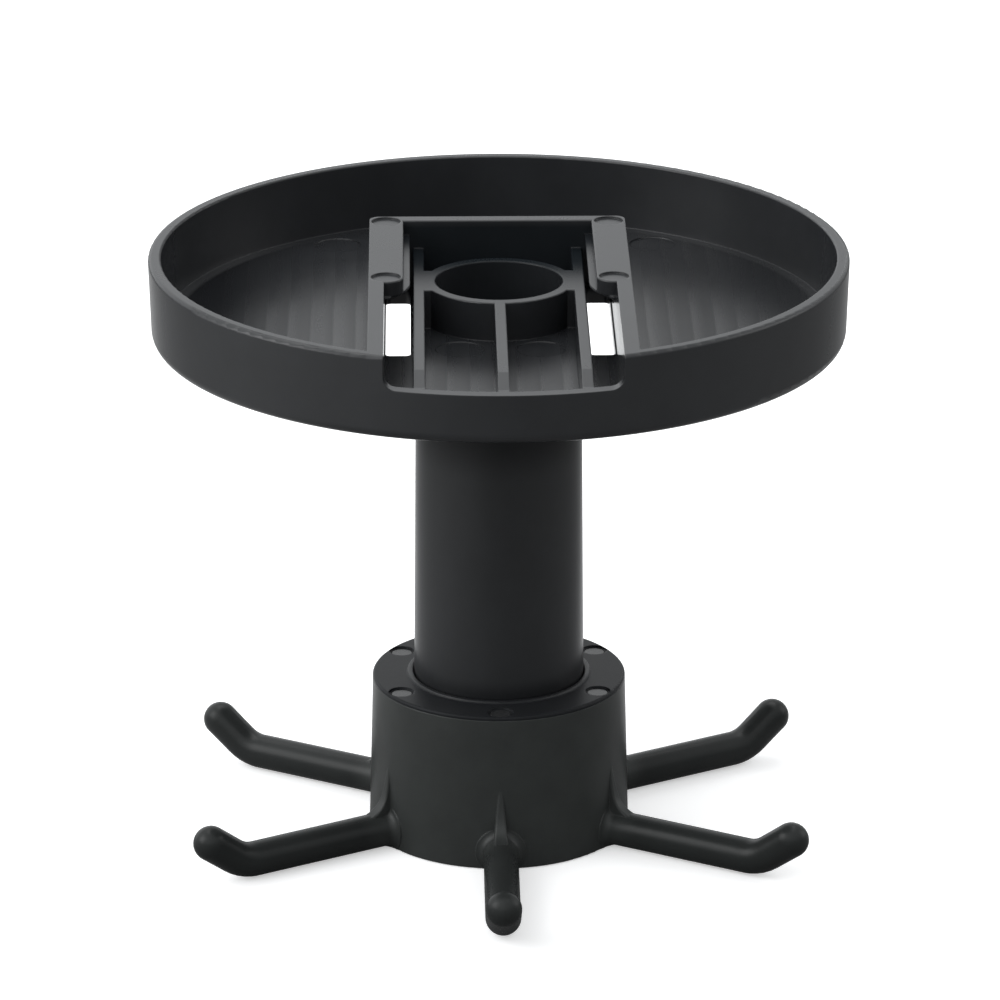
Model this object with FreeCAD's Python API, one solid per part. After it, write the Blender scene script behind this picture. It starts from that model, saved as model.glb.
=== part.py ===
import FreeCAD, Part
import math
import os

Vector = FreeCAD.Vector

# Rotating under-shelf hook rack.
# A shallow round tray slides on to a plate fixed under a shelf.  A tube hangs
# from the tray and carries a hub with six hooks that turns about the tube.
# Frame: millimetres, +Z up, origin on the turning axis at the hub's underside.
# The open end of the slide channel faces -Y, which is called the front.
# Names ending in _R are radii, _T thicknesses, and Z_ or _Z heights.

OVERLAP = 1.0            # how far joined or cut bodies run past a face

# ------------------------------------------------------------- tray -------
TRAY_R_TOP = 68.5        # outer radius at the top of the rim
TRAY_R_BOTTOM = 68.0     # outer radius at the underside
TRAY_TOP_ROUND = 0.8     # outer top edge
TRAY_FOOT_ROUND = 2.2    # outer bottom edge
RIM_IN_R_TOP = 65.95     # inner radius at the top of the rim
RIM_IN_R_FLOOR = 65.4    # inner radius at the floor
RIM_IN_ROUND = 0.35      # inner top edge
Z_UNDER = 103.3          # underside of the tray
Z_FLOOR = Z_UNDER + 2.9  # top of the tray floor
Z_RIM = Z_UNDER + 16.5   # top of the rim
Z_SEAT = 114.0           # plate seat: top of the ribs and of the ring
Z_NOTCH = Z_SEAT - 0.8   # bottom of the rim notch
Z_ROOT = Z_FLOOR - OVERLAP   # where bodies standing on the floor start

CHANNEL_IN = 22.4        # half width inside the channel walls
CHANNEL_OUT = 25.35      # half width outside the channel walls
REAR_WALL_IN = 20.9      # y of the rear wall's inside face
REAR_WALL_OUT = 23.7     # y of its outside face
CHANNEL_ROUND_OUT = 2.0  # rear corners, outside
CHANNEL_ROUND_IN = 0.6   # rear corners, inside
CHANNEL_KEEP_R = 66.6    # the walls are trimmed to this radius
NOTCH_ROUND = 2.4        # bottom corners of the rim notch
NOTCH_Y0 = -75.0         # the notch cut runs from here
NOTCH_LENGTH = 16.0      # over this length

Y_BACK = REAR_WALL_IN + 0.5  # ribs and lips end inside the rear wall
Z_LIP = Z_RIM - 3.0      # underside of the two overhanging lips
LIP_END_Y = -15.95       # centre of the lip's rounded front end
LIP_END_R = 3.35
LEDGE_T = 0.45           # thin ledge along the foot of each lip
LEDGE_EMBED = 0.05       # how far it reaches up into the lip
LEDGE_IN = 17.4          # its inner edge
LEDGE_BEND_Y = -9.5      # where its edge starts to curve outwards
LEDGE_MID = (18.4, -15.2)    # (x, y) halfway round the curve
LEDGE_END = (21.8, -19.9)    # (x, y) at the end of the curve

RIB_T = 2.2
RIB_X = 15.7             # centre of the two outer ribs
RIB_MID_Y0 = -66.2       # front end of the middle rib
RIB_OUTER_Y0 = -64.6     # front end of the outer ribs
RIB_FLAT = 1.5           # low flat at a rib's front end
RAMP = 8.0               # length of the lead-in slope behind it
RAMP_ROUND = 4.0         # round where the slope meets the seat
Z_RIB_FRONT = Z_NOTCH - 0.05
RING_R = 14.7            # ring around the core hole
CORE_R = 12.45           # core hole
WEB_HALF = 6.4           # half size in y of the webs that tie ring to ribs
SLOT_IN = 17.3           # through slots in the floor, under the lips
SLOT_OUT = 22.15
SLOT_Y0 = -23.3
SLOT_Y1 = 18.3
SLOT_ROUND = 1.0

TOP_EDGE_ROUND = 0.3     # top edges of the channel walls and lips
SEAT_EDGE_ROUND = 0.22   # edges of the plate seat

# Round ejector marks, one set on each side: (x, y, radius, face, depth)
MARKS = [
    (22.0, LIP_END_Y, 2.9, Z_RIM, 0.4),
    (22.1, 20.5, 2.9, Z_RIM, 0.4),
    (32.0, 48.6, 4.6, Z_FLOOR, 0.22),
    (7.8, -19.4, 4.7, Z_FLOOR, 0.18),
]

# ----------------------------------------------------------- column -------
COLUMN_R_TOP = 16.30
COLUMN_R_LOW = 16.95
COLUMN_BORE_R = 13.90
Z_SHOULDER = 30.15       # step down to the journal
JOURNAL_R = 15.00
JOURNAL_BORE_R = 12.4
BORE_TAPER = (2.0, 4.0)  # the bore widens between these heights over the shoulder
Z_COLUMN_END = 18.0
END_WALL = 3.0

SPIGOT_R = COLUMN_BORE_R - 0.02  # under the tray floor; the tube sits on it
SPIGOT_Z = Z_UNDER - 13.0
SPIGOT_ROUND = 0.5

SCREW_RING_R = 8.0       # radius of the screw positions
SCREW_COUNT = 3
SCREW_ANGLE = 90         # angle of the first screw, degrees
SCREW_BOSS_R = 3.6
SCREW_BOSS_TOP = 31.0
SCREW_SHANK_R = 1.48
SCREW_HEAD_R = 2.8
SCREW_HEAD_HEIGHT = 2.1
SCREW_HEAD_ROUND = 1.0
SCREW_TIP_Z = 27.0
SCREW_POINT = 1.6        # length of the tapered point
SCREW_POINT_R = 0.35     # radius at its end
CROSS_HALF_LENGTH = 1.75     # cross recess in the screw head
CROSS_HALF_WIDTH = 0.45
CROSS_DEPTH = 1.3
PILOT_R = SCREW_SHANK_R + 0.02

# --------------------------------------------------- retainer and washer --
RETAINER_R = 18.8
RETAINER_Z0 = Z_COLUMN_END - 3.0
RETAINER_HOLE_R = 1.70   # screw holes
RETAINER_CENTRE_R = 4.0  # centre hole
WASHER_IN_R = JOURNAL_R + 0.1
WASHER_OUT_R = 18.7
WASHER_T = 1.0
WASHER_ROUND = 0.15

# -------------------------------------------------------------- hub -------
HUB_R_BOTTOM = 26.1
HUB_R_TOP = 25.25
HUB_WALL_IN = 22.9       # inner radius of the cup wall
HUB_FLOOR = 3.0
Z_CUP_TOP = 31.2         # seam between cup and cover
Z_HUB_TOP = Z_CUP_TOP + 0.8
COVER_ROUND = 0.5
REGISTER_R = HUB_WALL_IN - 0.1   # register that drops into the cup mouth
Z_REGISTER = Z_CUP_TOP - 1.2
SLEEVE_BORE_R = JOURNAL_R + 0.06     # runs on the journal
SLEEVE_R = 19.2
Z_SLEEVE = Z_COLUMN_END + WASHER_T + 0.05
COUNTERBORE_R = COLUMN_R_LOW + 0.1   # clears the column above the shoulder
Z_COUNTERBORE = Z_SHOULDER - 0.1
COLLAR_R = 18.25         # raised collar round the column
COLLAR_Z = Z_HUB_TOP + 0.5

PIN_RING_R = 22.4        # radius of the pin positions
PIN_HEAD_R = 2.10
PIN_SEAT_R = PIN_HEAD_R + 0.04
PIN_SEAT_Z = 30.65
PIN_HEAD_Z0 = PIN_SEAT_Z + 0.02
PIN_HEAD_Z1 = PIN_SEAT_Z + 1.0
PIN_SHANK_R = 1.60
PIN_BORE_R = PIN_SHANK_R + 0.02
PIN_TIP_Z = 19.0
PIN_BOSS_R = 2.55
DIMPLE_RING_R = 22.5     # dimples in the cover above the pin heads
DIMPLE_R = 2.52

# ------------------------------------------------------------ hooks -------
HOOK_COUNT = 6
HOOK_ANGLE = 30.0        # angle of the first hook, degrees
ROD_R = 3.47
ROD_Z = 3.5              # rod centre line
ROD_START = 21.0         # radius where the rod starts, inside the hub
HOOK_FLAT_Z = 0.06       # the hook's underside is cut flat here
HOOK_CORNER = 58.8       # radius of the bend's corner
HOOK_BEND = 8.0          # centre-line bend radius
HOOK_RISE = 37.1         # degrees
TIP_RUN = 65.8           # radius from the axis to the tip's centre
TIP_R = 3.52
FLARE = 1.55             # root round between rod and hub
FLARE_START = 23.6       # radius where the flare body starts
FLARE_FACE = HUB_R_BOTTOM - 0.26     # radius where its round starts
FIN_START = 23.8         # radius of the fin's inner side
FIN_T = 2.7              # fin thickness at the rod
FIN_T_TOP = 0.8          # and near its top
FIN_TOP = 16.8
FIN_ROUND = 0.36         # round along the fin's outer edge
# Fin's outer edge, top to bottom: (radius, height)
FIN_EDGE = [(25.58, FIN_TOP), (26.02, 14.2), (26.42, 12.0), (27.00, 10.0),
            (27.95, 8.4), (29.20, 7.35), (30.60, 6.72)]


# ------------------------------------------------------------- helpers ----
def lines(*points):
    """Straight edges from each point to the next."""
    return [Part.LineSegment(p, q).toShape() for p, q in zip(points, points[1:])]


def arc(start, middle, end):
    return Part.Arc(start, middle, end).toShape()


def rounded_wire(points, place):
    """Closed wire through (u, v, round) points, with a round at each corner.
    place maps (u, v) to a Vector."""
    corners = []
    for i, (u, v, radius) in enumerate(points):
        corner = Vector(u, v, 0)
        if radius <= 0:
            corners.append([place(u, v)])
            continue
        before = points[i - 1]
        after = points[(i + 1) % len(points)]
        back = (Vector(before[0], before[1], 0) - corner).normalize()
        ahead = (Vector(after[0], after[1], 0) - corner).normalize()
        half_angle = back.getAngle(ahead) / 2
        inward = (back + ahead).normalize()
        tangent = radius / math.tan(half_angle)
        stops = [corner + back * tangent,
                 corner + inward * (radius / math.sin(half_angle) - radius),
                 corner + ahead * tangent]
        corners.append([place(stop.x, stop.y) for stop in stops])
    edges = []
    for i, stops in enumerate(corners):
        if len(stops) == 3:
            edges.append(arc(*stops))
        start = stops[-1]
        end = corners[(i + 1) % len(corners)][0]
        if (start - end).Length > 1e-6:
            edges += lines(start, end)
    return Part.Wire(edges)


def prism(wire, x, y, z):
    """Solid from a flat wire extruded along (x, y, z)."""
    return Part.Face(wire).extrude(Vector(x, y, z))


def turned(points):
    """Solid of revolution about Z from (radius, z, round) points."""
    wire = rounded_wire(points, lambda u, v: Vector(u, 0, v))
    return Part.Face(wire).revolve(Vector(0, 0, 0), Vector(0, 0, 1), 360)


def slab(x0, x1, y0, y1, z0, z1, front_round, rear_round):
    """Upright prism with rounded front and rear corners."""
    points = [(x0, y0, front_round), (x1, y0, front_round),
              (x1, y1, rear_round), (x0, y1, rear_round)]
    return prism(rounded_wire(points, lambda u, v: Vector(u, v, z0)), 0, 0, z1 - z0)


def block(x0, x1, y0, y1, z0, z1):
    return Part.makeBox(x1 - x0, y1 - y0, z1 - z0, Vector(x0, y0, z0))


def post(radius, z0, z1, x=0.0, y=0.0):
    """Upright cylinder."""
    return Part.makeCylinder(radius, z1 - z0, Vector(x, y, z0))


def ringed(solid, count, first_angle):
    """Copies of solid turned evenly about Z."""
    copies = []
    for i in range(count):
        turned_copy = solid.copy()
        turned_copy.rotate(Vector(0, 0, 0), Vector(0, 0, 1), first_angle + i * 360.0 / count)
        copies.append(turned_copy)
    return copies


def screw_posts(radius, z0, z1):
    return ringed(post(radius, z0, z1, SCREW_RING_R), SCREW_COUNT, SCREW_ANGLE)


def pin_posts(radius, z0, z1, ring_radius=PIN_RING_R):
    return ringed(post(radius, z0, z1, ring_radius), HOOK_COUNT, HOOK_ANGLE)


def softened(shape, pick, radius):
    """Round every edge that pick accepts, together or else one by one."""
    def usable(result):
        return result.isValid() and result.Volume > 0.9 * shape.Volume

    edges = [edge for edge in shape.Edges if pick(edge)]
    if not edges:
        return shape
    # Guards against the kernel refusing to round the whole group at once.
    try:
        result = shape.makeFillet(radius, edges)
        if usable(result):
            return result
    except Exception:
        pass
    result = shape
    for centre, length in [(edge.CenterOfMass, edge.Length) for edge in edges]:
        for edge in result.Edges:
            if abs(edge.Length - length) < 1e-3 and (edge.CenterOfMass - centre).Length < 1e-3:
                # An edge that can't be rounded is left sharp.
                try:
                    candidate = result.makeFillet(radius, [edge])
                    if usable(candidate):
                        result = candidate
                except Exception:
                    pass
                break
    return result


def save(name, shape):
    """Write a piece, with its solids directly under at most one compound."""
    if shape.ShapeType == "Compound":
        solids = shape.Solids
        shape = solids[0] if len(solids) == 1 else Part.makeCompound(solids)
    shape.exportStep("parts/%s.step" % name)


# ---------------------------------------------------------------- tray ----
def make_rib(x, y0, y1):
    """Rib along Y with a lead-in slope at its front end."""
    points = [(y0, Z_ROOT, 0), (y0, Z_RIB_FRONT, 0), (y0 + RIB_FLAT, Z_RIB_FRONT, 0),
              (y0 + RIB_FLAT + RAMP, Z_SEAT, RAMP_ROUND), (y1, Z_SEAT, 0), (y1, Z_ROOT, 0)]
    wire = rounded_wire(points, lambda u, v: Vector(x - RIB_T / 2, u, v))
    return prism(wire, RIB_T, 0, 0)


def make_ribs():
    """Middle rib, then an outer rib and its web on each side."""
    ribs = [make_rib(0.0, RIB_MID_Y0, -CORE_R - 1.0)]
    for side in (-1, 1):
        ribs.append(make_rib(side * RIB_X, RIB_OUTER_Y0, Y_BACK))
        x0, x1 = sorted((side * (CORE_R + 0.4), side * RIB_X))
        ribs.append(block(x0, x1, -WEB_HALF, WEB_HALF, Z_ROOT, Z_SEAT))
    return ribs


def make_channel():
    """Side and rear walls of the slide channel."""
    keep = post(CHANNEL_KEEP_R, Z_ROOT, Z_RIM)
    outer = slab(-CHANNEL_OUT, CHANNEL_OUT, -70, REAR_WALL_OUT,
                 Z_ROOT, Z_RIM, 0, CHANNEL_ROUND_OUT)
    inner = slab(-CHANNEL_IN, CHANNEL_IN, -72, REAR_WALL_IN,
                 Z_ROOT - OVERLAP, Z_RIM + OVERLAP, 0, CHANNEL_ROUND_IN)
    return outer.cut(inner).common(keep)


def make_lip(side):
    """Overhanging lip with a full-round front end."""
    def at(x, y):
        return Vector(side * x, y, Z_LIP)

    centre = CHANNEL_OUT - LIP_END_R
    inner = centre - LIP_END_R
    outer = centre + LIP_END_R
    back = at(inner, Y_BACK)
    inner_end = at(inner, LIP_END_Y)
    outer_end = at(outer, LIP_END_Y)
    wire = Part.Wire(lines(back, inner_end)
                     + [arc(inner_end, at(centre, LIP_END_Y - LIP_END_R), outer_end)]
                     + lines(outer_end, at(outer, Y_BACK), back))
    return prism(wire, 0, 0, Z_RIM - Z_LIP)


def make_ledge(side):
    """Thin ledge under a lip, its inner edge curving outwards at the front."""
    def at(x, y):
        return Vector(side * x, y, Z_LIP - LEDGE_T)

    back = at(LEDGE_IN, Y_BACK)
    bend = at(LEDGE_IN, LEDGE_BEND_Y)
    end = at(*LEDGE_END)
    wall_x = CHANNEL_IN + 0.5
    wire = Part.Wire(lines(back, bend) + [arc(bend, at(*LEDGE_MID), end)]
                     + lines(end, at(wall_x, LEDGE_END[1]), at(wall_x, Y_BACK), back))
    return prism(wire, 0, 0, LEDGE_T + LEDGE_EMBED)


def level_edge(edge, z, half_width, y_max):
    """True for a level edge at z, within half_width of X = 0 and short of
    y_max, that stays clear of the rim at the front."""
    bounds = edge.BoundBox
    return (bounds.ZMax - bounds.ZMin <= 1e-4 and abs(bounds.ZMax - z) <= 1e-4
            and max(abs(bounds.XMin), abs(bounds.XMax)) < half_width
            and bounds.YMin > -64.0 and bounds.YMax < y_max)


def make_tray():
    dish = turned([
        (0, Z_UNDER, 0), (TRAY_R_BOTTOM, Z_UNDER, TRAY_FOOT_ROUND),
        (TRAY_R_TOP, Z_RIM, TRAY_TOP_ROUND), (RIM_IN_R_TOP, Z_RIM, RIM_IN_ROUND),
        (RIM_IN_R_FLOOR, Z_FLOOR, 0), (0, Z_FLOOR, 0)])
    spigot = softened(post(SPIGOT_R, SPIGOT_Z, Z_FLOOR),
                      lambda edge: abs(edge.CenterOfMass.z - SPIGOT_Z) < 1e-3, SPIGOT_ROUND)
    ring = post(RING_R, Z_ROOT, Z_SEAT)
    lips = [make(side) for side in (-1, 1) for make in (make_lip, make_ledge)]
    tray = dish.fuse([spigot, make_channel(), ring] + lips)

    # The notch comes before the ribs, whose front ends stand inside it.
    notch = rounded_wire(
        [(-CHANNEL_IN, Z_RIM + 3, 0), (-CHANNEL_IN, Z_NOTCH, NOTCH_ROUND),
         (CHANNEL_IN, Z_NOTCH, NOTCH_ROUND), (CHANNEL_IN, Z_RIM + 3, 0)],
        lambda u, v: Vector(u, NOTCH_Y0, v))
    tray = tray.cut(prism(notch, 0, NOTCH_LENGTH, 0))
    tray = tray.fuse(make_ribs()).cut(post(CORE_R, SPIGOT_Z - OVERLAP, Z_RIM + OVERLAP))

    for side in (-1, 1):
        x0, x1 = sorted((side * SLOT_IN, side * SLOT_OUT))
        tray = tray.cut(slab(x0, x1, SLOT_Y0, SLOT_Y1, Z_UNDER - OVERLAP, Z_FLOOR + 0.01,
                             SLOT_ROUND, SLOT_ROUND))
    tray = tray.removeSplitter()

    # small moulded rounds on the exposed top edges, then on the seat
    tray = softened(tray, lambda edge: level_edge(edge, Z_RIM, 26, 27), TOP_EDGE_ROUND)
    tray = softened(tray, lambda edge: level_edge(edge, Z_SEAT, 17, 21.5), SEAT_EDGE_ROUND)

    for side in (-1, 1):
        for x, y, radius, face, depth in MARKS:
            tray = tray.cut(post(radius, face - depth, face + OVERLAP, side * x, y))
    return tray


# -------------------------------------------------------------- column ----
def make_column():
    """Tapered tube with a closed journal end and three screw bosses in it."""
    inside = Z_COLUMN_END + END_WALL
    tube = turned([
        (0, Z_COLUMN_END, 0), (JOURNAL_R, Z_COLUMN_END, 0.4),
        (JOURNAL_R, Z_SHOULDER, 0),
        (COLUMN_R_LOW, Z_SHOULDER, 0.25), (COLUMN_R_TOP, Z_UNDER, 0.15),
        (COLUMN_BORE_R, Z_UNDER, 0), (COLUMN_BORE_R, Z_SHOULDER + BORE_TAPER[1], 0),
        (JOURNAL_BORE_R, Z_SHOULDER + BORE_TAPER[0], 0),
        (JOURNAL_BORE_R, inside, 0.6), (0, inside, 0)])
    tube = tube.fuse(screw_posts(SCREW_BOSS_R, Z_COLUMN_END + OVERLAP, SCREW_BOSS_TOP))
    tube = tube.cut(screw_posts(PILOT_R, Z_COLUMN_END - OVERLAP, SCREW_BOSS_TOP - 2))
    return tube.removeSplitter()


def make_retainer():
    """Disc screwed to the column's lower end."""
    z0 = RETAINER_Z0 - OVERLAP
    z1 = Z_COLUMN_END + OVERLAP
    disc = turned([(0, RETAINER_Z0, 0), (RETAINER_R, RETAINER_Z0, 0.6),
                   (RETAINER_R, Z_COLUMN_END, 0.3), (0, Z_COLUMN_END, 0)])
    disc = disc.cut(post(RETAINER_CENTRE_R, z0, z1))
    return disc.cut(screw_posts(RETAINER_HOLE_R, z0, z1))


def make_washer():
    z0 = Z_COLUMN_END
    z1 = z0 + WASHER_T
    return turned([(radius, z, WASHER_ROUND) for radius, z in (
        (WASHER_IN_R, z0), (WASHER_OUT_R, z0), (WASHER_OUT_R, z1), (WASHER_IN_R, z1))])


def make_screws():
    """Three screws, heads down, each with a cross recess."""
    z0 = RETAINER_Z0 - SCREW_HEAD_HEIGHT
    screw = turned([
        (0, z0, 0), (SCREW_HEAD_R, z0, SCREW_HEAD_ROUND),
        (SCREW_HEAD_R, RETAINER_Z0, 0), (SCREW_SHANK_R, RETAINER_Z0, 0),
        (SCREW_SHANK_R, SCREW_TIP_Z - SCREW_POINT, 0),
        (SCREW_POINT_R, SCREW_TIP_Z, 0), (0, SCREW_TIP_Z, 0)])
    for x, y in ((CROSS_HALF_LENGTH, CROSS_HALF_WIDTH), (CROSS_HALF_WIDTH, CROSS_HALF_LENGTH)):
        screw = screw.cut(block(-x, x, -y, y, z0 - OVERLAP, z0 + CROSS_DEPTH))
    screw.translate(Vector(SCREW_RING_R, 0, 0))
    return Part.makeCompound(ringed(screw, SCREW_COUNT, SCREW_ANGLE))


# ----------------------------------------------------------------- hub ----
def make_flare():
    """Root round, turned about the rod's own axis."""
    round_end = FLARE_FACE + FLARE
    rim = ROD_R + FLARE
    diagonal = FLARE * math.cos(math.radians(45))
    start = Vector(FLARE_START, 0, 0)
    arc_start = Vector(FLARE_FACE, 0, rim)
    arc_end = Vector(round_end, 0, ROD_R)
    middle = Vector(round_end - diagonal, 0, rim - diagonal)
    wire = Part.Wire(lines(start, Vector(FLARE_START, 0, rim), arc_start)
                     + [arc(arc_start, middle, arc_end)]
                     + lines(arc_end, Vector(round_end, 0, 0), start))
    flare = Part.Face(wire).revolve(Vector(0, 0, 0), Vector(1, 0, 0), 360)
    flare.translate(Vector(0, 0, ROD_Z))
    return flare


def make_fin():
    """Fin above the root: hollow outer edge, thinner towards its top."""
    half = FIN_T / 2
    z_rod = ROD_Z + ROD_R - 0.25
    z_bottom = z_rod - 1.5
    edge = [Vector(radius, -half, z) for radius, z in FIN_EDGE]
    curve = Part.BSplineCurve()
    curve.interpolate(edge)
    wire = Part.Wire([curve.toShape()] + lines(
        edge[-1], Vector(edge[-1].x, -half, z_bottom), Vector(FIN_START, -half, z_bottom),
        Vector(FIN_START, -half, FIN_TOP), edge[0]))
    fin = prism(wire, 0, FIN_T, 0)

    # wedges shaved off both sides
    for side in (-1, 1):
        wedge = [Vector(20, side * y, z) for y, z in (
            (half, z_rod), (half + 3, z_rod), (half + 3, FIN_TOP + 1),
            (FIN_T_TOP / 2 - 0.05, FIN_TOP + 1))]
        fin = fin.cut(prism(Part.makePolygon(wedge + wedge[:1]), 15, 0, 0))

    def along_outer_edge(edge):
        if len(edge.Vertexes) != 2:
            return False
        first, last = [vertex.Point for vertex in edge.Vertexes]
        return abs(first.z - last.z) > 8.0 and max(first.x, last.x) > 29.0

    return softened(fin, along_outer_edge, FIN_ROUND)


def make_hook():
    """One hook along +X: rod, bend, rising end, ball tip, root round, fin."""
    angle = math.radians(HOOK_RISE)
    tangent = HOOK_BEND * math.tan(angle / 2)
    bend_x = HOOK_CORNER - tangent
    straight = Part.makeCylinder(ROD_R, bend_x - ROD_START, Vector(ROD_START, 0, ROD_Z),
                                 Vector(1, 0, 0))
    circle = Part.makeCircle(ROD_R, Vector(bend_x, 0, ROD_Z), Vector(1, 0, 0))
    bend = Part.Face(Part.Wire(circle)).revolve(
        Vector(bend_x, 0, ROD_Z + HOOK_BEND), Vector(0, -1, 0), HOOK_RISE)
    rise = Vector(math.cos(angle), 0, math.sin(angle))
    corner = Vector(HOOK_CORNER, 0, ROD_Z)
    run = (TIP_RUN - HOOK_CORNER) / math.cos(angle)
    end = Part.makeCone(ROD_R, TIP_R, run - tangent, corner + rise * tangent, rise)
    ball = Part.makeSphere(TIP_R, corner + rise * run)
    hook = straight.fuse([bend, end, ball, make_flare(), make_fin()])
    return hook.cut(block(10, 80, -10, 10, -10, HOOK_FLAT_Z))


def make_cup():
    """Lower part of the hub, with the hooks and the pin bosses."""
    top = Z_CUP_TOP + OVERLAP
    body = turned([(0, 0, 0), (HUB_R_BOTTOM, 0, 0.3), (HUB_R_TOP, Z_CUP_TOP, 0.12),
                   (0, Z_CUP_TOP, 0)])
    cup = body.fuse(ringed(make_hook(), HOOK_COUNT, HOOK_ANGLE))
    hollow = turned([(0, HUB_FLOOR, 0), (HUB_WALL_IN - 0.3, HUB_FLOOR, 0.8),
                     (HUB_WALL_IN, top, 0), (0, top, 0)])
    # Bosses are left standing by taking them out of the hollow.
    hollow = hollow.cut(pin_posts(PIN_BOSS_R, HUB_FLOOR - OVERLAP, Z_REGISTER))
    cup = cup.cut(hollow)
    cup = cup.cut(pin_posts(PIN_BORE_R, PIN_TIP_Z - OVERLAP, top)
                  + pin_posts(PIN_SEAT_R, PIN_SEAT_Z, top))
    return cup.removeSplitter()


def make_cover():
    """Hub cover with the sleeve that runs on the journal."""
    top = Z_HUB_TOP + OVERLAP
    cover = turned([
        (SLEEVE_BORE_R, Z_SLEEVE, 0.3), (SLEEVE_R, Z_SLEEVE, 0.3),
        (SLEEVE_R, Z_REGISTER, 0), (REGISTER_R, Z_REGISTER, 0.2),
        (REGISTER_R, Z_CUP_TOP, 0), (HUB_R_TOP, Z_CUP_TOP, 0.1),
        (HUB_R_TOP, Z_HUB_TOP, COVER_ROUND), (COLLAR_R, Z_HUB_TOP, 0.22),
        (COLLAR_R, COLLAR_Z, 0.3), (COUNTERBORE_R, COLLAR_Z, 0.45),
        (COUNTERBORE_R, Z_COUNTERBORE, 0), (SLEEVE_BORE_R, Z_COUNTERBORE, 0)])
    cover = cover.cut(pin_posts(PIN_BORE_R, Z_REGISTER - OVERLAP, top))
    cover = cover.cut(pin_posts(PIN_SEAT_R, PIN_SEAT_Z, top))
    return cover.cut(pin_posts(DIMPLE_R, PIN_HEAD_Z1, top, DIMPLE_RING_R))


def make_pins():
    """Headed pins that hold the cover to the cup."""
    pin = turned([(0, PIN_TIP_Z, 0), (PIN_SHANK_R, PIN_TIP_Z, 0.4),
                  (PIN_SHANK_R, PIN_HEAD_Z0, 0), (PIN_HEAD_R, PIN_HEAD_Z0, 0),
                  (PIN_HEAD_R, PIN_HEAD_Z1, 0.15), (0, PIN_HEAD_Z1, 0)])
    pin.translate(Vector(PIN_RING_R, 0, 0))
    return Part.makeCompound(ringed(pin, HOOK_COUNT, HOOK_ANGLE))


os.makedirs("parts", exist_ok=True)
save("tray", make_tray())
save("column_tube", make_column())
save("retainer_disc", make_retainer())
save("slip_washer", make_washer())
save("retainer_screws", make_screws())
save("hub_cup", make_cup())
save("hub_cover", make_cover())
save("cover_pins", make_pins())
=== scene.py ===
"""Black moulded rack: a hub with hooks at the foot, a column, and a tray on top.

The column stands on the Z axis, upright, just above a floor near z = 0. The front faces -Y and
left is -X. The shapes are the CAD pieces; this script adds materials, floor, light and camera.
"""
import math
from functools import cached_property
from types import SimpleNamespace

import bmesh
import bpy
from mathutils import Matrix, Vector


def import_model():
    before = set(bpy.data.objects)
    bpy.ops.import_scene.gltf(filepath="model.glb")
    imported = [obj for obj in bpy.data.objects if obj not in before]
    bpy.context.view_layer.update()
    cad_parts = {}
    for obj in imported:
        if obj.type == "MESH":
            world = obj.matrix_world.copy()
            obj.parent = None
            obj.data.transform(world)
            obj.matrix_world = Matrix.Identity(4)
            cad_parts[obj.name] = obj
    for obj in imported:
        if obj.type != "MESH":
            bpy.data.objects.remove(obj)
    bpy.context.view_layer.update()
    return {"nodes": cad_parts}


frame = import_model()
scene = bpy.context.scene
NODES = frame["nodes"]
MM = 0.001                      # metres in a millimetre


# ---------------------------------------------------------- shader tools --
class Signal:
    """A shader output; +, - and * on it add Math nodes to its tree."""

    def __init__(self, tree, socket):
        self.tree = tree
        self.socket = socket

    def __add__(self, other):
        return self.tree.math("ADD", self, other)

    def __radd__(self, other):
        return self.tree.math("ADD", other, self)

    def __sub__(self, other):
        return self.tree.math("SUBTRACT", self, other)

    def __rsub__(self, other):
        return self.tree.math("SUBTRACT", other, self)

    def __mul__(self, other):
        return self.tree.math("MULTIPLY", self, other)

    def __rmul__(self, other):
        return self.tree.math("MULTIPLY", other, self)


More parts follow.
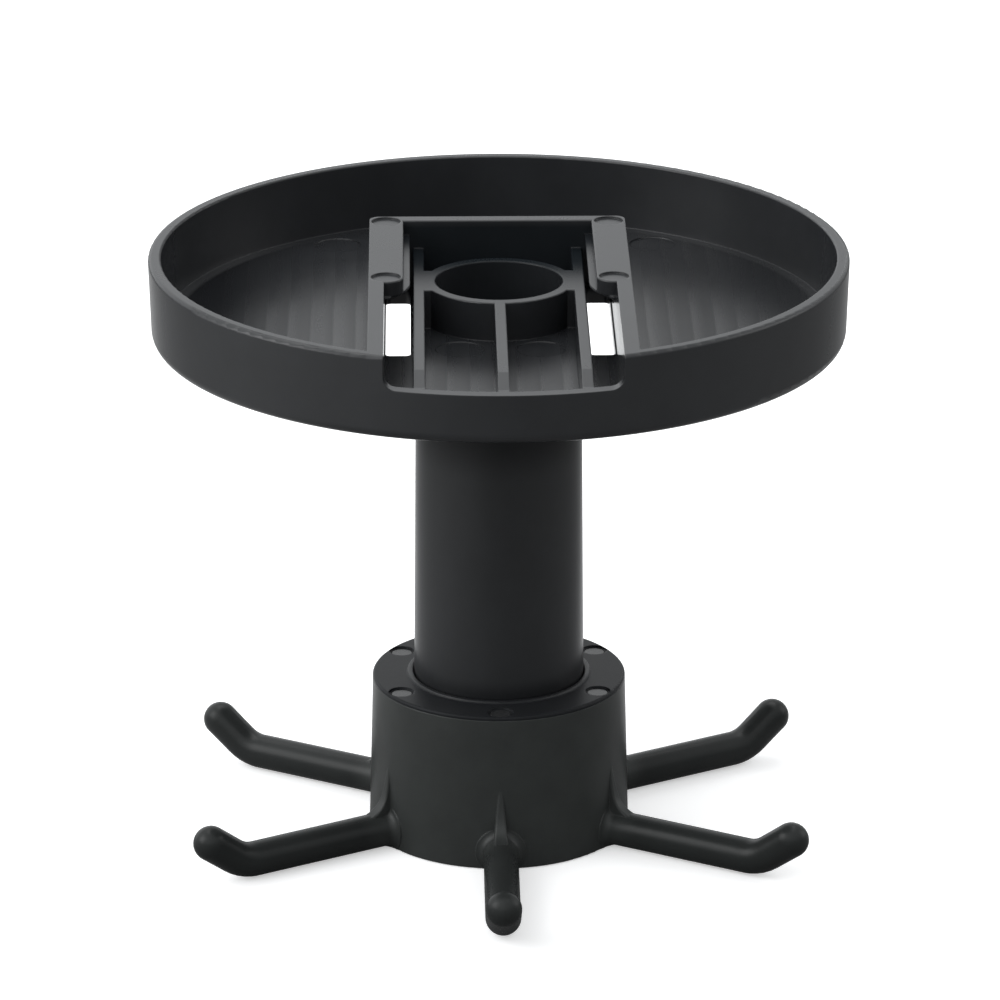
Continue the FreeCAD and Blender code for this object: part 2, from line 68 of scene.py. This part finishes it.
class Tree:
    """Builds the node tree of a material or world, starting from an empty one."""

    def __init__(self, owner):
        owner.use_nodes = True
        self.owner = owner
        self.tree = owner.node_tree
        self.tree.nodes.clear()

    def feed(self, socket, value):
        """Give an input a signal, a number or an RGB colour."""
        if isinstance(value, Signal):
            self.tree.links.new(value.socket, socket)
        elif isinstance(value, tuple):
            socket.default_value = (*value, 1.0)
        else:
            socket.default_value = value

    def node(self, kind, inputs=None, **settings):
        node = self.tree.nodes.new(kind)
        for name, value in settings.items():
            setattr(node, name, value)
        for key, value in (inputs or {}).items():
            self.feed(node.inputs[key], value)
        return node

    def make(self, kind, inputs=None, output=0, **settings):
        """Add a node and return one of its outputs."""
        return Signal(self, self.node(kind, inputs, **settings).outputs[output])

    def split(self, vector):
        node = self.node("ShaderNodeSeparateXYZ", {0: vector})
        return [Signal(self, socket) for socket in node.outputs]

    @cached_property
    def coords(self):
        return self.make("ShaderNodeTexCoord", output="Object")

    @cached_property
    def xyz(self):
        return self.split(self.coords)

    def radius(self):
        """Distance from the Z axis."""
        x, y, _ = self.xyz
        return self.math("SQRT", x * x + y * y)

    def math(self, operation, *values, clamp=False):
        return self.make("ShaderNodeMath", dict(enumerate(values)),
                         operation=operation, use_clamp=clamp)

    def ramp(self, value, span, to=(0.0, 1.0), smooth=True):
        """Map span onto to, held at both ends; span may run downwards."""
        inputs = {"Value": value, "From Min": span[0], "From Max": span[1],
                  "To Min": to[0], "To Max": to[1]}
        return self.make("ShaderNodeMapRange", inputs, clamp=True,
                         interpolation_type="SMOOTHSTEP" if smooth else "LINEAR")

    def fade(self, value, span_mm, to=(0.0, 1.0)):
        """A ramp over a length, with its span in millimetres."""
        return self.ramp(value, (span_mm[0] * MM, span_mm[1] * MM), to)

    def noise(self, place, scale, detail=2.0, rough=0.5, dims="3D"):
        inputs = {"Scale": scale, "Detail": detail, "Roughness": rough,
                  "W" if dims == "1D" else "Vector": place}
        return self.make("ShaderNodeTexNoise", inputs, noise_dimensions=dims)

    def mix(self, factor, first, second):
        """Blend two colours."""
        return self.make("ShaderNodeMix", {0: factor, 6: first, 7: second}, 2,
                         data_type="RGBA")

    def bump(self, height_mm, **normal):
        return self.make("ShaderNodeBump", {"Distance": MM, "Height": height_mm, **normal})


# ------------------------------------------------------- moulded plastic --
def moulded(name, base, rough, grain=1.0, grain_mm=0.30, wave=1.0, wear=1.0,
            specular=0.5, gloss=0.7, details=()):
    """Moulded plastic: tone drift, fine grain, slow waviness and rubbed edges.

    grain, wave and wear scale those effects, grain_mm is the grain size, and gloss is
    the share of roughness lost at grazing view. Each detail is a function that
    changes the surface in some places.
    """
    t = Tree(bpy.data.materials.new(name))
    drift = t.noise(t.coords, scale=45.0, detail=3.0, rough=0.55)
    cloud = t.noise(t.coords, scale=170.0, detail=2.0, rough=0.6)
    fine = t.noise(t.coords, scale=1000.0 / grain_mm, detail=2.0, rough=0.65)
    finer = t.noise(t.coords, scale=1000.0 / (grain_mm * 0.42), detail=1.0, rough=0.5)
    slow = t.noise(t.coords, scale=38.0, detail=1.0, rough=0.4)

    # tone: slow drift plus speckle from the grain
    tone = drift * 0.55 + cloud * 0.25 + fine * 0.20
    dark = tuple(c * 0.88 for c in base)
    light = tuple(c * 1.13 for c in base)
    rubbed = tuple(min(1.0, c * 2.1) for c in base)
    colour = t.mix(t.ramp(tone, span=(0.36, 0.64)), dark, light)

    # rubbed edges: the bevel normal differs from the true one near an edge
    true_normal = t.make("ShaderNodeNewGeometry", output="Normal")
    bevel = t.make("ShaderNodeBevel", {"Radius": 0.35 * MM}, samples=4)
    agreement = t.make("ShaderNodeVectorMath", {0: bevel, 1: true_normal}, "Value",
                       operation="DOT_PRODUCT")
    edge = t.ramp(agreement, span=(0.995, 0.90))
    patches = t.ramp(t.noise(t.coords, scale=320.0, detail=3.0, rough=0.6), span=(0.38, 0.62))
    worn = t.math("MULTIPLY", edge * patches, wear, clamp=True)

    surface = SimpleNamespace(
        normal=true_normal,
        colour=t.mix(worn * 0.45, colour, rubbed),
        rough=(rough - 0.05) + drift * 0.07 + (fine - 0.5) * min(0.10, 0.14 * grain)
        - worn * 0.08,
        height=fine * (0.010 * grain) + finer * (0.005 * grain) + slow * (0.16 * wave),
        specular=specular)
    for detail in details:
        detail(t, surface)

    # a fine-grained face turns glossier towards grazing view
    facing = t.make("ShaderNodeLayerWeight", {"Blend": 0.5, "Normal": bevel}, "Facing")
    graze = t.ramp(facing, span=(0.50, 0.98), smooth=False)
    bsdf = t.node("ShaderNodeBsdfPrincipled", {
        "Base Color": surface.colour,
        "Roughness": surface.rough * (1.0 - graze * gloss),
        "IOR": 1.5,
        "Specular IOR Level": specular,
        "Normal": t.bump(surface.height, Normal=bevel)})
    if details:
        t.feed(bsdf.inputs["Specular IOR Level"], surface.specular)
    t.node("ShaderNodeOutputMaterial", {0: Signal(t, bsdf.outputs[0])})
    return t.owner


def dim(t, surface, light, tint):
    """Scale the reflection by light, and pull the colour to tint where light is below 1."""
    surface.specular = surface.specular * light
    surface.colour = t.mix(t.math("SUBTRACT", 1.0, light, clamp=True), surface.colour, tint)


# Spans below are in mm and run from no effect to full effect.

# -- tray
TRAY_FLOOR_Z = (105.9, 106.4)       # heights that enclose the tray's flat floor
TRAY_FLOOR_RADIUS = 64.0
FLOOR_EDGE_Z = 0.05                 # soft margins of that zone
FLOOR_EDGE_RADIUS = 1.5
PASS_PITCH = 4.4                    # between cutter passes
PASS_WANDER = 1.6
PASS_OFFSET = 40.3                  # in passes; keeps the count positive
STREAK_STRENGTH = 0.75
# colour of the painted shade at the tray floor's left and right ends
FLOOR_SHADE_TINT = (0.0040, 0.0045, 0.0056)
CHANNEL_SIDE = (22.2, 21.0)         # distance from the middle, either way
CHANNEL_REAR = (22.6, 21.6)
CHANNEL_TINT = (0.0030, 0.0062, 0.0085)


def milled_floor_and_painted_shade(t, surface):
    """Soft cutter passes on the tray floor, plus painted shade that darkens the floor towards
    its left and right ends.
    """
    x, _, z = t.xyz
    low, high = TRAY_FLOOR_Z
    inside = (t.fade(z, (low, low + FLOOR_EDGE_Z))
              * t.fade(z, (high, high - FLOOR_EDGE_Z))
              * t.fade(t.radius(), (TRAY_FLOOR_RADIUS, TRAY_FLOOR_RADIUS - FLOOR_EDGE_RADIUS))
              * t.ramp(t.split(surface.normal)[2], span=(0.9, 0.98)))

    # each pass is a shallow dish, on top of broader bands
    wander = (t.noise(t.coords, scale=22.0, detail=1.0) - 0.5) * (PASS_WANDER * MM)
    across = x + wander
    phase = t.math("FRACT", across * (1.0 / (PASS_PITCH * MM)) + PASS_OFFSET)
    dish = t.ramp(phase, span=(0.0, 0.88), smooth=False) * t.ramp(phase, span=(1.0, 0.86))
    broad = t.noise(across * 190.0, scale=1.0, detail=1.0, rough=0.6, dims="1D")
    streaks = dish * 0.38 + broad * 0.62

    # painted shade: colour and reflection are dimmed towards the floor's left and right ends
    left = t.fade(x, (-30.0, -55.0)) * 0.95
    right = t.fade(x, (20.0, 36.0)) * 0.46
    far_right = t.fade(x, (44.0, 60.0)) * 0.20
    painted_end_shade = inside * (left + (right + far_right))

    surface.rough = surface.rough + inside * ((streaks - 0.5) * (0.30 * STREAK_STRENGTH))
    surface.height = surface.height + inside * (streaks * (0.016 * STREAK_STRENGTH))
    surface.specular = (surface.specular - inside * (0.04 + streaks * 0.22)) * (1.0 - painted_end_shade)
    surface.colour = t.mix(painted_end_shade * 0.70, surface.colour, FLOOR_SHADE_TINT)


def channel_shade(t, surface):
    """The rear of the slide channel holds less light, and the step at z = 114 least."""
    x, y, z = t.xyz
    aside = t.math("ABSOLUTE", x)
    channel = (t.fade(y, (1.0, 15.0)) * t.fade(aside, CHANNEL_SIDE)
               * t.fade(z, (119.4, 118.2)) * t.fade(y, CHANNEL_REAR)
               * t.fade(z, (105.0, 106.0))
               * t.fade(t.radius(), (12.3, 12.7), to=(0.35, 1.0)))   # less near the axis
    step = ((t.fade(z, (113.75, 113.95)) * t.fade(z, (114.25, 114.05)))
            * (t.fade(aside, CHANNEL_SIDE) * t.fade(y, CHANNEL_REAR))
            * (t.fade(y, (-9.0, 9.0)) * t.fade(y, (20.85, 20.6))))
    shade = t.math("MAXIMUM", channel, step * 1.45)
    dim(t, surface, light=1.0 - shade * 0.48, tint=CHANNEL_TINT)


# -- column
def draw_lines(t, surface):
    """Faint upright lines along the mould's opening direction."""
    x, y, _ = t.xyz
    turn = t.math("ARCTAN2", y, x)
    lines = t.noise(turn * 9.0, scale=6.0, detail=3.0, rough=0.6, dims="1D")
    surface.height = surface.height + lines * 0.006
    surface.rough = surface.rough + (lines - 0.5) * 0.05


def column_shade(t, surface):
    """The column darkens towards the tray and just above the collar."""
    z = t.xyz[2]
    shade = t.fade(z, (77.0, 86.0)) * 0.46 + t.fade(z, (36.5, 32.4)) * 0.42
    dim(t, surface, light=1.0 - shade, tint=(0.0045, 0.0048, 0.0052))


# -- hub and its cover
HOOK_ROOT = (27.0, 34.0)            # radius over which the drum gives way to the hooks
HOOK_END = (50.0, 54.0)             # radius of the hook ends
HOOK_END_Z = (22.0, 36.0)


def hook_polish(t, surface):
    """The hooks are smoother than the drum."""
    surface.rough = surface.rough - t.fade(t.radius(), HOOK_ROOT) * 0.13


def hook_shade(t, surface):
    """Painted shade: the hooks are darkened against the drum, their ends most of all."""
    radius = t.radius()
    painted_end_shade = t.fade(radius, HOOK_END) * t.fade(t.xyz[2], HOOK_END_Z)
    shade = t.fade(radius, HOOK_ROOT) * 0.44 + painted_end_shade * 0.34
    dim(t, surface, light=1.0 - shade, tint=(0.0100, 0.0108, 0.0112))


def painted_crest_highlight(t, surface):
    """Painted highlight: the reflection on the crest of the collar is boosted."""
    crest = t.fade(t.radius(), (18.9, 18.2)) * t.fade(t.xyz[2], (32.05, 32.3))
    dim(t, surface, light=1.0 + crest * 1.6, tint=(0.0100, 0.0105, 0.0110))


# ------------------------------------------------------------ zinc plate --
def zinc():
    t = Tree(bpy.data.materials.new("zinc_plate"))
    mottle = t.noise(t.coords, scale=900.0, detail=3.0, rough=0.6)
    fine = t.noise(t.coords, scale=5000.0, detail=2.0, rough=0.6)
    bsdf = t.make("ShaderNodeBsdfPrincipled", {
        "Base Color": t.mix(t.ramp(mottle, span=(0.35, 0.65)),
                            (0.48, 0.49, 0.50), (0.68, 0.69, 0.70)),
        "Metallic": 1.0,
        "Roughness": 0.24 + fine * 0.22,
        "Normal": t.bump(fine * 0.006)})
    t.node("ShaderNodeOutputMaterial", {0: bsdf})
    return t.owner


# -------------------------------------------------------------- dressing --
BLACK = (0.0160, 0.0170, 0.0188)
HUB_BLACK = (0.0315, 0.0342, 0.0330)
PIN_BLACK = (0.028, 0.0285, 0.0295)
RETAINER_GREY = (0.05, 0.051, 0.053)
WASHER_WHITE = (0.72, 0.72, 0.70)


def dress(piece, material):
    slots = NODES[piece].data.materials
    slots.clear()
    slots.append(material)


dress("tray", moulded("tray_abs", BLACK, rough=0.37, grain=0.30, wave=0.5, wear=0.08,
                      gloss=0.5, details=(milled_floor_and_painted_shade, channel_shade)))
dress("column_tube", moulded("column_abs", BLACK, rough=0.43, grain=0.6, wave=0.5,
                             gloss=0.30, details=(draw_lines, column_shade)))
dress("hub_cup", moulded("hub_abs", HUB_BLACK, rough=0.46, grain=1.1, grain_mm=0.34,
                         wave=0.35, gloss=0.30, specular=0.33,
                         details=(hook_polish, hook_shade)))
dress("hub_cover", moulded("cover_abs", BLACK, rough=0.45, grain=0.9, wave=0.4,
                           gloss=0.4, specular=0.125, details=(painted_crest_highlight,)))
dress("cover_pins", moulded("pin_abs", PIN_BLACK, rough=0.30, grain=0.25, wave=0.3))
dress("retainer_disc", moulded("retainer_abs", RETAINER_GREY, rough=0.45))
dress("slip_washer", moulded("washer_acetal", WASHER_WHITE, rough=0.32, grain=0.3, wear=0.0))
dress("retainer_screws", zinc())


# ----------------------------------------------------------------- floor --
FLOOR_HALF = 9.0                # metres
FLOOR_DROP = 0.15 * MM          # below z = 0


def grey(level):
    return (level, level, level)


def paper_bounce(t):
    """What the paper sends back to the rack: bright behind, dim in front."""
    x, y, _ = t.xyz
    behind = t.fade(y, (-60.0, 160.0))
    left = t.fade(x, (300.0, -300.0))
    off_axis = t.math("ABSOLUTE", x)
    aside = t.fade(off_axis, (40.0, 130.0))
    far = t.fade(off_axis, (120.0, 270.0))
    right_side = t.mix(far, grey(0.25), grey(0.17))
    left_side = t.mix(far, grey(0.44), grey(0.24))
    sides = t.mix(left, right_side, left_side)
    front_right = t.mix(t.fade(x, (40.0, 200.0)), grey(0.19), grey(0.25))
    front = t.mix(t.fade(x, (-40.0, -200.0)), front_right, grey(0.42))
    return t.mix(behind, front, t.mix(aside, grey(0.95), sides))


def studio_paper():
    """Pale, slightly glowing paper to the camera; a shaped reflector to the rack."""
    t = Tree(bpy.data.materials.new("studio_paper"))
    camera_ray = t.make("ShaderNodeLightPath", output="Is Camera Ray")
    pale = t.mix(t.noise(t.coords, scale=3.0), grey(0.86), grey(0.88))
    diffuse = t.make("ShaderNodeBsdfDiffuse", {0: t.mix(camera_ray, paper_bounce(t), pale)})
    glow = t.make("ShaderNodeEmission", {0: grey(1), 1: camera_ray * 0.45})
    paper = t.make("ShaderNodeAddShader", {0: diffuse, 1: glow})
    # seen from below, the floor is clear, so the underside can be looked at
    clear = t.make("ShaderNodeBsdfTransparent")
    under = camera_ray * t.make("ShaderNodeNewGeometry", output="Backfacing")
    shader = t.make("ShaderNodeMixShader", {0: under, 1: paper, 2: clear})
    t.node("ShaderNodeOutputMaterial", {0: shader})
    return t.owner


def add_object(name, data):
    thing = bpy.data.objects.new(name, data)
    scene.collection.objects.link(thing)
    return thing


def floor():
    grid = bmesh.new()
    bmesh.ops.create_grid(grid, x_segments=4, y_segments=4, size=FLOOR_HALF)
    mesh = bpy.data.meshes.new("studio_floor")
    grid.to_mesh(mesh)
    grid.free()
    sheet = add_object("studio_floor", mesh)
    sheet.location = (0, 0, -FLOOR_DROP)
    mesh.materials.append(studio_paper())


floor()


# ----------------------------------------------------------------- light --
def world():
    """In front a dark room with a softbox above, even light behind, brighter at the left."""
    room = bpy.data.worlds.new("studio")
    scene.world = room
    t = Tree(room)
    x, y, z = t.split(t.make("ShaderNodeTexCoord", output="Generated"))
    front = t.ramp(z, span=(0.00, 0.55), to=(0.18, 1.30))
    behind = t.ramp(y, span=(-0.30, 0.55))
    side = t.ramp(x, span=(-0.85, 0.85), to=(1.20, 0.58))
    level = t.make("ShaderNodeMix", {0: behind, 2: front, 3: 1.02})
    background = t.make("ShaderNodeBackground", {0: (0.965, 0.985, 1.0), 1: level * side})
    t.node("ShaderNodeOutputWorld", {0: background})


def turn_along(thing, direction):
    """Point a light or camera, which looks down its own -Z."""
    thing.rotation_euler = direction.to_track_quat("-Z", "Y").to_euler()


def area(name, place, aim, size, power):
    """A square area light, in metres and watts."""
    light = bpy.data.lights.new(name, "AREA")
    light.shape = "RECTANGLE"
    light.size = size
    light.size_y = size
    light.energy = power
    lamp = add_object(name, light)
    lamp.location = place
    turn_along(lamp, Vector(aim) - Vector(place))


world()
area("key_left", place=(-1.1, -0.35, 0.75), aim=(0, 0, 0.06), size=0.8, power=6.0)
area("fill_right", place=(1.2, 0.25, 0.6), aim=(0, 0, 0.06), size=0.7, power=2.0)
area("top", place=(0.0, 0.35, 1.3), aim=(0, 0, 0.05), size=0.9, power=5.0)


# ---------------------------------------------------------------- camera --
CAMERA_TARGET = Vector((0.23, 0.0, 68.29)) * MM
CAMERA_DISTANCE = 1.175449              # metres
CAMERA_RISE = math.radians(19.746)      # above the horizon
CAMERA_TURN = math.radians(-0.855)      # from straight in front; negative is left


def camera():
    lens = bpy.data.cameras.new("camera")
    viewer = add_object("camera", lens)
    lens.sensor_width = 36.0
    lens.lens = 213.482
    lens.clip_start = 0.05
    lens.clip_end = 60.0
    back = Vector((math.sin(CAMERA_TURN) * math.cos(CAMERA_RISE),
                   -math.cos(CAMERA_TURN) * math.cos(CAMERA_RISE),
                   math.sin(CAMERA_RISE)))
    viewer.location = CAMERA_TARGET + back * CAMERA_DISTANCE
    turn_along(viewer, -back)
    scene.camera = viewer


camera()
scene.view_settings.view_transform = "Standard"
scene.view_settings.look = "None"
